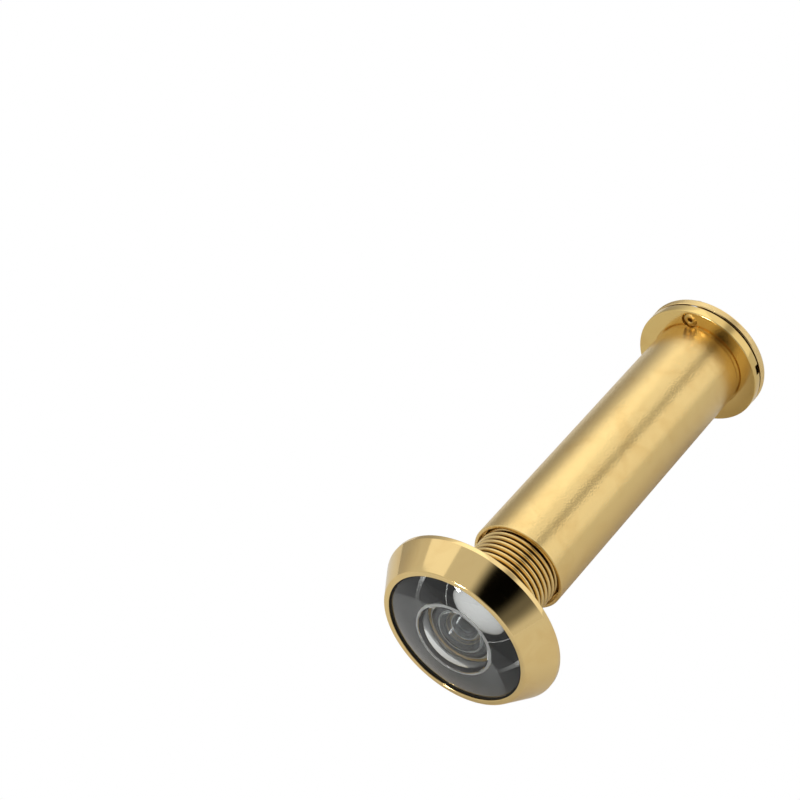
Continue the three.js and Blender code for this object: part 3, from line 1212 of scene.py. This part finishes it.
@dataclass
class InsideHalf:
    """The inside half: threaded sleeve with its slotted flange, rivet, washer and eyepiece.

    Attributes are sizes in millimetres.
    """

    body: str = "inside_half"
    eyepiece_body: str = "eyepiece"
    sleeve_radius: float = 8.0
    root_relief_width: float = 0.5
    root_relief_depth: float = 0.22
    seat_relief: float = 0.15
    flange_thickness: float = 1.7
    mouth_bore: float = 7.43
    mouth_depth: float = 1.6
    thread_bore: float = 7.15
    thread_length: float = 8.0
    thread_depth: float = 0.55
    thread_crest: float = 0.14
    relief_bore: float = 7.25
    eyepiece_aperture: float = 4.6
    slot_width: float = 1.7
    slot_depth: float = 0.9
    slot_from_pivot: float = math.radians(95)
    counterbore_radius: float = 1.45
    counterbore_depth: float = 0.75
    rivet_radius: float = 0.8
    rivet_head_height: float = 0.75
    rivet_bore: float = 0.42
    clinch_radius: float = 1.28
    clinch_height: float = 0.55
    washer_bore: float = 0.86
    cell_wall: float = 1.15
    cell_lip: float = 0.6
    eyepiece_dome: float = 16.0
    eyepiece_edge: float = 0.7
    ring_wall: float = 1.5
    notch_width: float = 1.2
    notch_depth: float = 0.6

    def build(self, shop: "Workshop") -> list[bpy.types.Object]:
        """Make every piece of this half.

        Args:
            shop: The finished materials.

        Returns:
            The pieces.
        """
        return [
            self.sleeve(shop),
            self.nut_thread(shop),
            self.rivet(shop),
            self.washer(shop),
            *self.eyepiece(shop),
        ]

    def sleeve(self, shop: "Workshop") -> bpy.types.Object:
        """Turn the sleeve and flange, mill the coin slot and drill for the rivet.

        Args:
            shop: The finished materials.

        Returns:
            The finished piece.
        """
        span, cell = Span.of("inner_sleeve"), Span.of("eyepiece_cell")
        ring = Span.of("eyepiece_retaining_ring")
        seat = span.back - self.flange_thickness
        ledge = self.sleeve_radius - self.root_relief_depth
        seat_inner = self.sleeve_radius + RELIEF_REACH
        thread_from = span.front + self.mouth_depth
        thread_to = thread_from + self.thread_length
        cell_bore = cell.radius + FIT_GAP
        outline = [
            (self.mouth_bore, span.front),
            (self.sleeve_radius, span.front),
            (self.sleeve_radius, seat - self.root_relief_width),
            (ledge, seat - self.root_relief_width),
            (ledge, seat + self.seat_relief),
            (seat_inner, seat + self.seat_relief),
            (seat_inner, seat),
            (span.radius, seat),
            (span.radius, span.back),
            (self.eyepiece_aperture, span.back),
            (self.eyepiece_aperture, cell.back + FIT_GAP),
            (cell_bore, cell.back + FIT_GAP),
            (cell_bore, ring.front),
            (self.relief_bore, ring.front),
            (self.relief_bore, thread_to),
            (self.thread_bore, thread_to),
            (self.thread_bore, thread_from),
            (self.mouth_bore, thread_from),
        ]
        rounds = {0: 0.1, 1: 0.22, 2: 0.1, 6: 0.12, 7: 0.18, 8: 0.18, 9: 0.3}
        made = Turning(
            "sleeve_and_flange", outline, [shop.satin, shop.flange], rounds, segments=256
        ).build()
        # The flange's front and rim are polished after the sleeve has been brushed.
        for polygon in made.data.polygons:
            polygon.material_index = int(polygon.center.y > (seat - 0.01) * MM)
        top = span.back + 1
        slot = bar(
            self.slot_width,
            2 * span.radius + 4,
            span.back - self.slot_depth,
            top,
            math.pi / 2 + self.slot_from_pivot,
        )
        pivot = (0.0, Span.of("pivot_rivet").centre_z)
        hole = self.drill(self.rivet_radius + FIT_GAP, seat - 0.3, top, pivot)
        pit = self.drill(
            self.counterbore_radius, seat - 0.4, seat + self.counterbore_depth, pivot
        )
        machined(made, [slot, hole, pit])
        return dress(made, self.body, "satin_brass", "inner_sleeve")

    def drill(
        self, radius: float, low: float, high: float, centre: Point
    ) -> bpy.types.Object:
        """Make a round cutter parallel to the axis.

        Args:
            radius: Its radius.
            low: Its lowest y.
            high: Its highest y.
            centre: X and Z of its axis.

        Returns:
            A temporary object.
        """
        outline = [(0.0, low), (radius, low), (radius, high), (0.0, high)]
        return Turning("drill", outline, [], centre=centre, segments=64).build()

    def nut_thread(self, shop: "Workshop") -> bpy.types.Object:
        """Sweep the thread inside the sleeve's mouth, half a pitch off the barrel's.

        Args:
            shop: The finished materials.

        Returns:
            The finished piece.
        """
        span, half = Span.of("inner_sleeve"), OutsideHalf()
        first = span.front + self.mouth_depth + half.thread_pitch / 2
        steps = math.ceil((first - half.thread_start) / half.thread_pitch)
        made = ScrewThread(
            "sleeve_thread",
            self.thread_bore,
            self.thread_depth,
            self.thread_crest,
            half.thread_pitch,
            half.thread_start + (steps + 0.5) * half.thread_pitch,
            self.thread_length / half.thread_pitch - 2,
            ThreadSide.INWARD,
            steps=72,
        ).build(shop.satin)
        return dress(made, self.body, "satin_brass")

    def rivet(self, shop: "Workshop") -> bpy.types.Object:
        """Form the semi-tubular rivet: domed head at the back, rolled clinch in front.

        Args:
            shop: The finished materials.

        Returns:
            The finished piece.
        """
        span = Span.of("pivot_rivet")
        head = span.back - self.rivet_head_height
        low = span.front
        outline = [
            (self.rivet_bore, low + 0.05),
            (self.rivet_bore + 0.28, low),
            (self.clinch_radius - 0.12, low + 0.1),
            (self.clinch_radius, low + self.clinch_height * 0.55),
            (self.clinch_radius - 0.1, low + self.clinch_height),
            (self.rivet_radius, low + self.clinch_height),
            (self.rivet_radius, head),
            (span.radius, head),
            (span.radius, head + 0.2),
            (span.radius * 0.86, head + 0.5),
            (span.radius * 0.5, head + 0.7),
            (0.0, span.back),
            (0.0, low + 2 * self.clinch_height),
            (self.rivet_bore, low + 2 * self.clinch_height),
        ]
        rounds = {0: 0.05, 1: 0.15, 2: 0.1, 3: 0.15, 7: 0.06, 8: 0.12, 9: 0.5, 10: 1.0}
        made = Turning(
            "pivot_rivet_formed",
            outline,
            [shop.rivet],
            rounds,
            centre=(0.0, span.centre_z),
            segments=96,
            sharp=35,
        ).build()
        return dress(made, self.body, "polished_brass", "pivot_rivet")

    def washer(self, shop: "Workshop") -> bpy.types.Object:
        """Stamp the thin washer between flange and cover.

        Args:
            shop: The finished materials.

        Returns:
            The finished piece.
        """
        span = Span.of("pivot_washer")
        made = Turning(
            "washer_steel",
            span.ring(self.washer_bore),
            [shop.steel],
            {1: 0.06, 2: 0.06},
            centre=(0.0, span.centre_z),
            segments=96,
        ).build()
        return dress(made, self.body, "spring_steel", "pivot_washer")

    def eyepiece(self, shop: "Workshop") -> list[bpy.types.Object]:
        """Make the eyepiece cell, its lens and the brass retaining ring.

        Args:
            shop: The finished materials.

        Returns:
            The three pieces.
        """
        cell, lens = Span.of("eyepiece_cell"), Span.of("eyepiece_lens")
        ring = Span.of("eyepiece_retaining_ring")
        inner = cell.radius - self.cell_wall
        outline = [
            (cell.radius, cell.front),
            (cell.radius, cell.back),
            (self.eyepiece_aperture, cell.back),
            (self.eyepiece_aperture, cell.back - self.cell_lip),
            (inner, cell.back - self.cell_lip),
            (inner, cell.front),
        ]
        cell_made = Turning(
            "eyepiece_cup", outline, [shop.black], {1: 0.15, 2: 0.15}
        ).build()
        dome = cap(self.eyepiece_dome, lens.radius, lens.back - self.eyepiece_edge, -1)
        outline = [*dome, (lens.radius, lens.back), (0.0, lens.back)]
        lens_made = Turning(
            "eyepiece_glass", outline, [shop.glass, shop.ground], bands={len(dome) - 1: 1}
        ).build()
        outline = ring.ring(ring.radius - self.ring_wall)
        ring_made = Turning(
            "retaining_ring", outline, [shop.satin], {0: 0.12, 1: 0.1, 2: 0.1, 3: 0.12}
        ).build()
        low = ring.front - 1
        notch = bar(
            self.notch_width, 2 * ring.radius + 2, low, ring.front + self.notch_depth, 0.0
        )
        machined(ring_made, [notch])
        body = self.eyepiece_body
        return [
            dress(cell_made, body, "black_plastic", "eyepiece_cell"),
            dress(lens_made, body, "optical_glass", "eyepiece_lens"),
            dress(ring_made, body, "satin_brass", "eyepiece_retaining_ring"),
        ]


@dataclass
class Cover:
    """The disc that swings over the eyepiece, and the knob that a finger pushes.

    Attributes are sizes in millimetres.
    """

    body: str = "cover"
    thickness: float = 1.35
    shank: float = 0.75
    knob_radius: float = 1.35
    knob_height: float = 2.6
    rim_marks: int = 5
    rim_mark_depth: float = 0.035
    rivet_clearance: float = 0.86

    def build(self, shop: "Workshop") -> list[bpy.types.Object]:
        """Make both pieces.

        Args:
            shop: The finished materials.

        Returns:
            The pieces.
        """
        return [self.disc(shop), self.knob(shop)]

    def disc(self, shop: "Workshop") -> bpy.types.Object:
        """Part the disc off a bar, leaving the parting tool's lines on its rim.

        Args:
            shop: The finished materials.

        Returns:
            The finished piece.
        """
        span = Span.of("privacy_cover")
        pivot = (0.0, Span.of("pivot_rivet").centre_z)
        knob = (0.0, Span.of("cover_knob").centre_z)
        step = (self.thickness - 0.3) / self.rim_marks
        rim: list[Point] = []
        for i in range(self.rim_marks):
            low = span.front + 0.15 + i * step
            rim.append((span.radius, low + step * 0.1))
            rim.append((span.radius - self.rim_mark_depth, low + step * 0.75))
        outline = [
            (0.0, span.front),
            (span.radius - 0.12, span.front),
            *rim,
            (span.radius - 0.12, span.back),
            (0.0, span.back),
        ]
        rounds = {i: 0.04 for i in range(1, len(outline) - 1)}
        made = Turning(
            "cover_disc", outline, [shop.cover], rounds, segments=256, sharp=35
        ).build()
        drill = InsideHalf().drill
        low, high = span.front - 0.3, span.back + 0.3
        holes = [
            drill(self.rivet_clearance, low, high, pivot),
            drill(self.shank + FIT_GAP, low, high, knob),
        ]
        machined(made, holes)
        return dress(made, self.body, "polished_brass", "privacy_cover")

    def knob(self, shop: "Workshop") -> bpy.types.Object:
        """Turn the knob with its waist.

        Args:
            shop: The finished materials.

        Returns:
            The finished piece.
        """
        span = Span.of("cover_knob")
        foot = span.back - self.knob_height
        radius, height = self.knob_radius, self.knob_height
        outline = [
            (0.0, span.front),
            (self.shank, span.front),
            (self.shank, foot),
            (radius, foot),
            (radius, foot + height * 0.2),
            (radius * 0.72, foot + height * 0.4),
            (radius, foot + height * 0.72),
            (radius * 0.72, span.back),
            (0.0, span.back),
        ]
        rounds = {3: 0.06, 4: 0.12, 5: 0.5, 6: 0.35, 7: 0.3}
        made = Turning(
            "knob_turned",
            outline,
            [shop.knob],
            rounds,
            centre=(0.0, span.centre_z),
            segments=96,
        ).build()
        return dress(made, self.body, "polished_brass", "cover_knob")


def dress(
    piece: bpy.types.Object, body: str, slot: str, node: Optional[str] = None
) -> bpy.types.Object:
    """Attach a finished piece to its body, and hide the CAD node it stands for.

    Args:
        piece: The finished object.
        body: The CAD body it rides on.
        slot: The record's material slot; not used.
        node: The CAD node it stands for, if any.

    Returns:
        The same object.
    """
    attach(piece, body)
    if node:
        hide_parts(node)
    log.info("%s: %d faces on %s", piece.name, len(piece.data.polygons), body)
    return piece


class Workshop:
    """Every finish of the viewer, made once."""

    def __init__(self) -> None:
        """Build the materials."""
        bright, warm = "#F0D292", "#DDB06A"
        pivot = (0.0, Span.of("pivot_rivet").centre_z)
        knob = (0.0, Span.of("cover_knob").centre_z)
        self.polished = TurnedMetal(
            "polished turned brass", bright, warm, 0.09, Lay.TURNED, 0.11, 0.0008
        ).material()
        self.satin = TurnedMetal(
            "brushed satin brass", "#EBCC8A", "#D8AC62", 0.21, Lay.BRUSHED, 0.12, 0.045, 0.85
        ).material()
        self.thread = TurnedMetal(
            "cut thread brass with painted root shade",
            bright,
            warm,
            0.16,
            Lay.TURNED,
            0.1,
            0.001,
            # Painted shade darkens this brass below a radius of 6.92 mm, fully below 6.55 mm: the
            # thread's roots and the barrel's bore.
            root_shade=(6.55, 6.92),
        ).material()
        self.flange = TurnedMetal(
            "polished flange brass", "#E6C780", "#D0A25A", 0.13, Lay.TURNED, 0.12, 0.0014
        ).material()
        self.cover = TurnedMetal(
            "faced brass", bright, warm, 0.18, Lay.TURNED, 0.14, 0.002
        ).material()
        # The rivet's brass is given darker colours than the other brass: painted shade that dulls the
        # bright glint its head would catch from overhead.
        self.rivet = TurnedMetal(
            "rivet brass darkened with painted shade", "#C9A65F", "#8F6C34", 0.3, Lay.POLISHED, 0.1, 0.002, 0.5, pivot
        ).material()
        self.knob = TurnedMetal(
            "polished knob brass", bright, warm, 0.12, Lay.POLISHED, 0.08, 0.001, 0.2, knob
        ).material()
        self.steel = TurnedMetal(
            "bright spring steel", "#C9C8C4", "#A9A7A2", 0.25, Lay.POLISHED, 0.1, 0.001, 0.2, pivot
        ).material()
        self.glass = CrownGlass("polished crown glass").material()
        self.ground = FineGrain(
            "ground glass edge", "#D6D6D2", "#F2F2EF", 0.5, 0.05, 0.003
        ).material()
        self.rubber = FineGrain(
            "moulded black rubber", "#0E0E0F", "#1A1A1B", 0.6, 0.12, 0.004
        ).material()
        self.black = FineGrain(
            "moulded black plastic", "#131315", "#202022", 0.5, 0.08, 0.003
        ).material()


# ---------------------------------------------------------------- studio


@dataclass(frozen=True)
class Softbox:
    """A diffused rectangular lamp.

    Attributes:
        name: Its name.
        direction: From the viewer to the lamp.
        along: Direction of its length.
        size: Length and width in metres, at a distance of one metre.
        radiance: How bright its face looks, where white is one.
    """

    name: str
    direction: tuple[float, float, float]
    along: tuple[float, float, float]
    size: tuple[float, float]
    radiance: float

    def build(self, target: Vector) -> None:
        """Hang the lamp, facing the target.

        Args:
            target: The point that it faces.
        """
        lamp = bpy.data.lights.new(self.name, "AREA")
        lamp.shape = "RECTANGLE"
        lamp.size, lamp.size_y = self.size
        # A lamp's face looks this bright for each watt over four times its area.
        lamp.energy = self.radiance * 4 * self.size[0] * self.size[1]
        z = Vector(self.direction).normalized()
        x = Vector(self.along)
        x = (x - z * x.dot(z)).normalized()
        turn = Matrix((x, z.cross(x), z)).transposed().to_4x4()
        made = bpy.data.objects.new(self.name, lamp)
        made.matrix_world = Matrix.Translation(target + z) @ turn
        made.visible_camera = False
        bpy.context.scene.collection.objects.link(made)


@dataclass(frozen=True)
class Lobe:
    """A soft round patch of the surroundings, brighter or darker than the rest.

    Attributes:
        direction: From the viewer to its middle.
        edge: Degrees from the middle where it has faded out.
        core: Degrees from the middle within which it is full.
        depth: How strong it is.
    """

    direction: tuple[float, float, float]
    edge: float
    core: float
    depth: float = 1.0

    def spread(
        self, tree: bpy.types.NodeTree, way: bpy.types.NodeSocket
    ) -> bpy.types.NodeSocket:
        """Say how far a direction lies inside the lobe.

        Args:
            tree: The world's node tree.
            way: The direction looked in.

        Returns:
            One in the core, fading to zero at the edge.
        """
        middle = Vector(self.direction).normalized()
        dot = add_node(
            tree, "ShaderNodeVectorMath", {0: way, 1: middle}, operation="DOT_PRODUCT"
        )
        ramp = add_node(
            tree,
            "ShaderNodeMapRange",
            {
                "Value": dot.outputs["Value"],
                "From Min": math.cos(math.radians(self.edge)),
                "From Max": math.cos(math.radians(self.core)),
            },
            interpolation_type="SMOOTHSTEP",
        )
        return ramp.outputs[0]


@dataclass
class Studio:
    """White room and table, soft lamps, the dark doorway round the camera, and the camera.

    Attributes:
        camera_at: Camera position in metres.
        camera_forward: Viewing direction.
        camera_up: Upward direction of the frame.
        lens: Focal length on a 36 mm sensor.
        room: Radiance of the white surroundings.
        wall: The brightest wall, behind the viewer.
        doorway: The dark doorway where the camera stands.
        jamb: The dim jamb beside it.
        corner: The room's unlit corner.
        slot: How far the slot between the lamps runs on from the doorway.
        slot_width: Where the slot is fully dark, and where it ends, as a share of the distance.
        paper: Colour of the table.
        boxes: The soft lamps.
    """

    camera_at: tuple[float, float, float] = (0.17693, -0.18480, 0.21769)
    camera_forward: tuple[float, float, float] = (-0.57561, 0.58932, -0.5669)
    camera_up: tuple[float, float, float] = (-0.20375, 0.56804, 0.79738)
    lens: float = 100.0
    room: float = 0.64
    wall: Lobe = Lobe((0.35, 0.85, 0.45), 80.0, 30.0, 0.38)
    doorway: Lobe = Lobe((0.58, -0.42, 0.7), 28.0, 12.0)
    jamb: Lobe = Lobe((0.82, -0.42, 0.4), 25.0, 8.0, 0.78)
    corner: Lobe = Lobe((-0.85, 0.5, 0.02), 44.0, 12.0, 0.4)
    slot: Lobe = Lobe((0.58, -0.42, 0.7), 92.0, 75.0, 0.55)
    slot_width: tuple[float, float] = (0.03, 0.2)
    paper: str = "#F0F0EE"
    boxes: Sequence[Softbox] = (
        Softbox("overhead", (-0.4, 0.18, 0.82), (0.47, 0.79, 0.03), (1.5, 0.7), 0.3),
        Softbox("strip", (-0.24, -0.96, 0.18), (0.5, 0.0, 0.86), (0.42, 0.06), 30.0),
    )

    def build(self, target: Vector, ground: float) -> None:
        """Set up the whole studio.

        Args:
            target: The middle of the viewer.
            ground: Height of the floor.
        """
        self.camera()
        self.surroundings()
        self.floor(ground)
        for box in self.boxes:
            box.build(target)
        view = bpy.context.scene.view_settings
        view.view_transform = "Standard"
        view.look = "None"

    def camera(self) -> None:
        """Stand the camera at its place."""
        data = bpy.data.cameras.new("camera")
        data.lens = self.lens
        data.sensor_width = 36.0
        data.clip_start = 0.01
        data.clip_end = 50.0
        z = -Vector(self.camera_forward).normalized()
        x = Vector(self.camera_up).cross(z).normalized()
        turn = Matrix((x, z.cross(x), z)).transposed().to_4x4()
        made = bpy.data.objects.new("camera", data)
        made.matrix_world = Matrix.Translation(Vector(self.camera_at)) @ turn
        bpy.context.scene.collection.objects.link(made)
        bpy.context.scene.camera = made

    def surroundings(self) -> None:
        """White room with a dark gap where the camera stands; seen directly, it is paper white."""
        world = bpy.data.worlds.new("studio")
        bpy.context.scene.world = world
        world.use_nodes = True
        tree = world.node_tree
        tree.nodes.clear()
        way = add_node(tree, "ShaderNodeTexCoord").outputs["Generated"]
        # The wall behind the viewer is the brightest; the camera stands in a dark doorway,
        # which runs on overhead as the slot between two lamps.
        side = Vector(self.doorway.direction).cross(Vector((0.0, 1.0, 0.0))).normalized()
        across = add_node(
            tree, "ShaderNodeVectorMath", {0: way, 1: side}, operation="DOT_PRODUCT"
        )
        slot = add_node(
            tree,
            "ShaderNodeMapRange",
            {
                "Value": calculated(tree, "ABSOLUTE", across.outputs["Value"]),
                "From Min": self.slot_width[1],
                "From Max": self.slot_width[0],
                "To Max": self.slot.depth,
            },
            interpolation_type="SMOOTHSTEP",
        )
        wall = self.wall.spread(tree, way)
        lit = calculated(tree, "MULTIPLY_ADD", wall, self.wall.depth, self.room)
        for dark in (self.doorway, self.jamb, self.corner):
            left = calculated(tree, "MULTIPLY_ADD", dark.spread(tree, way), -dark.depth, 1.0)
            lit = calculated(tree, "MULTIPLY", lit, left)
        dim = calculated(tree, "MULTIPLY", slot.outputs[0], self.slot.spread(tree, way))
        lit = calculated(tree, "MULTIPLY", lit, calculated(tree, "SUBTRACT", 1.0, dim))
        # The camera sees plain white; only lighting and reflections see the room.
        seen = add_node(tree, "ShaderNodeLightPath").outputs["Is Camera Ray"]
        strength = add_node(tree, "ShaderNodeMix", {"Factor": seen, "A": lit, "B": 1.0})
        background = add_node(
            tree,
            "ShaderNodeBackground",
            {"Color": (1.0, 1.0, 1.0, 1.0), "Strength": strength.outputs[0]},
        )
        add_node(tree, "ShaderNodeOutputWorld", {"Surface": background.outputs[0]})

    def floor(self, ground: float) -> None:
        """Lay a level round table of matt white paper that the camera sees as pure white.

        Args:
            ground: Its height in metres.
        """
        work = bmesh.new()
        place = Matrix.Translation((0.0, 0.03, ground))
        bmesh.ops.create_circle(work, cap_ends=True, segments=96, radius=0.28, matrix=place)
        mesh = mesh_of("floor", work)
        paper, tree = empty_material("matt white paper")
        seen = add_node(tree, "ShaderNodeLightPath").outputs["Is Camera Ray"]
        matt = add_node(tree, "ShaderNodeBsdfDiffuse", {"Color": linear(self.paper)})
        glow = add_node(tree, "ShaderNodeEmission", {"Strength": 1.0})
        both = add_node(
            tree, "ShaderNodeMixShader", {0: seen, 1: matt.outputs[0], 2: glow.outputs[0]}
        )
        add_node(tree, "ShaderNodeOutputMaterial", {"Surface": both.outputs[0]})
        mesh.materials.append(paper)
        mesh_object("floor", mesh)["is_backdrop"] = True


def main() -> None:
    """Build the viewer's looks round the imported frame, then the studio."""
    logging.basicConfig(level=logging.INFO, format="%(message)s")
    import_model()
    shop = Workshop()
    for part in (OutsideHalf(), InsideHalf(), Cover()):
        part.build(shop)
    low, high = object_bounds()
    Studio().build((low + high) / 2, low.z)


if __name__ == "__main__":
    main()
